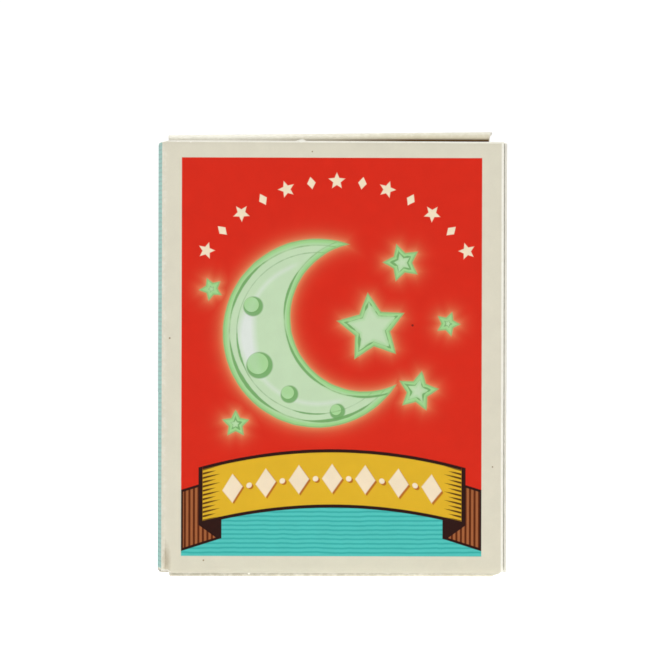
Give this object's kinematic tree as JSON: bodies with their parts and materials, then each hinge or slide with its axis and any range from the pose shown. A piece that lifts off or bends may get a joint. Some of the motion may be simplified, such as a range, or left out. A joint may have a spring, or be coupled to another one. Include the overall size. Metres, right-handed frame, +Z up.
{
  "type": "printed cardboard tuck end carton",
  "caption": "Small upright paperboard carton with a printed front, a glued side seam, and creased lids, tuck flaps and dust flaps that close its top and bottom.",
  "frame": {"origin": "middle of the carton's underside, at the centre of its width and depth", "axes": "+Z up, the printed front faces -Y, +X to the viewer's right"},
  "size_m": [0.0644, 0.03, 0.0827],
  "materials": {
    "printed_board": "coated, satin, printed",
    "cream_board": "coated, satin, cream",
    "plain_board": "uncoated inside, matte"
  },
  "bodies": {
    "sleeve": {"carton_sleeve": "printed_board"},
    "top_lid": {"top_lid": "cream_board"},
    "top_tuck": {"top_tuck_flap": "cream_board"},
    "top_dust_left": {"top_dust_flap_left": "plain_board"},
    "top_dust_right": {"top_dust_flap_right": "plain_board"},
    "bottom_lid": {"bottom_lid": "cream_board"},
    "bottom_tuck": {"bottom_tuck_flap": "cream_board"},
    "bottom_dust_left": {"bottom_dust_flap_left": "plain_board"},
    "bottom_dust_right": {"bottom_dust_flap_right": "plain_board"}
  },
  "joints": [
    {"name": "top_lid_crease", "type": "hinge", "parent": "sleeve", "child": "top_lid", "pos_m": [0, 0.01475, 0.08155], "axis": [-1, 0, 0], "range_deg": [-1.5, 165]},
    {"name": "top_tuck_crease", "type": "hinge", "parent": "top_lid", "child": "top_tuck", "pos_m": [0, -0.01409, 0.08248], "axis": [-1, 0, 0], "range_deg": [-0.3, 25]},
    {"name": "top_dust_left_crease", "type": "hinge", "parent": "sleeve", "child": "top_dust_left", "pos_m": [-0.032, 0, 0.08085], "axis": [0, -1, 0], "range_deg": [-0.9, 91]},
    {"name": "top_dust_right_crease", "type": "hinge", "parent": "sleeve", "child": "top_dust_right", "pos_m": [0.032, 0, 0.08085], "axis": [0, 1, 0], "range_deg": [-0.9, 91]},
    {"name": "bottom_lid_crease", "type": "hinge", "parent": "sleeve", "child": "bottom_lid", "pos_m": [0, -0.01475, 0.00025], "axis": [-1, 0, 0], "range_deg": [0, 165]},
    {"name": "bottom_tuck_crease", "type": "hinge", "parent": "bottom_lid", "child": "bottom_tuck", "pos_m": [0, 0.0141, 0.00025], "axis": [-1, 0, 0], "range_deg": [0, 14]},
    {"name": "bottom_dust_left_crease", "type": "hinge", "parent": "sleeve", "child": "bottom_dust_left", "pos_m": [-0.032, 0, 0.0011], "axis": [0, 1, 0], "range_deg": [0, 91]},
    {"name": "bottom_dust_right_crease", "type": "hinge", "parent": "sleeve", "child": "bottom_dust_right", "pos_m": [0.032, 0, 0.0011], "axis": [0, -1, 0], "range_deg": [0, 91]}
  ],
  "couplings": [
    {"joint": "top_tuck_crease", "follows": "top_lid_crease", "ratio": 0.15},
    {"joint": "top_dust_left_crease", "follows": "top_lid_crease", "ratio": 0.55},
    {"joint": "top_dust_right_crease", "follows": "top_lid_crease", "ratio": 0.55},
    {"joint": "bottom_tuck_crease", "follows": "bottom_lid_crease", "ratio": 0.08},
    {"joint": "bottom_dust_left_crease", "follows": "bottom_lid_crease", "ratio": 0.55},
    {"joint": "bottom_dust_right_crease", "follows": "bottom_lid_crease", "ratio": 0.55}
  ]
}
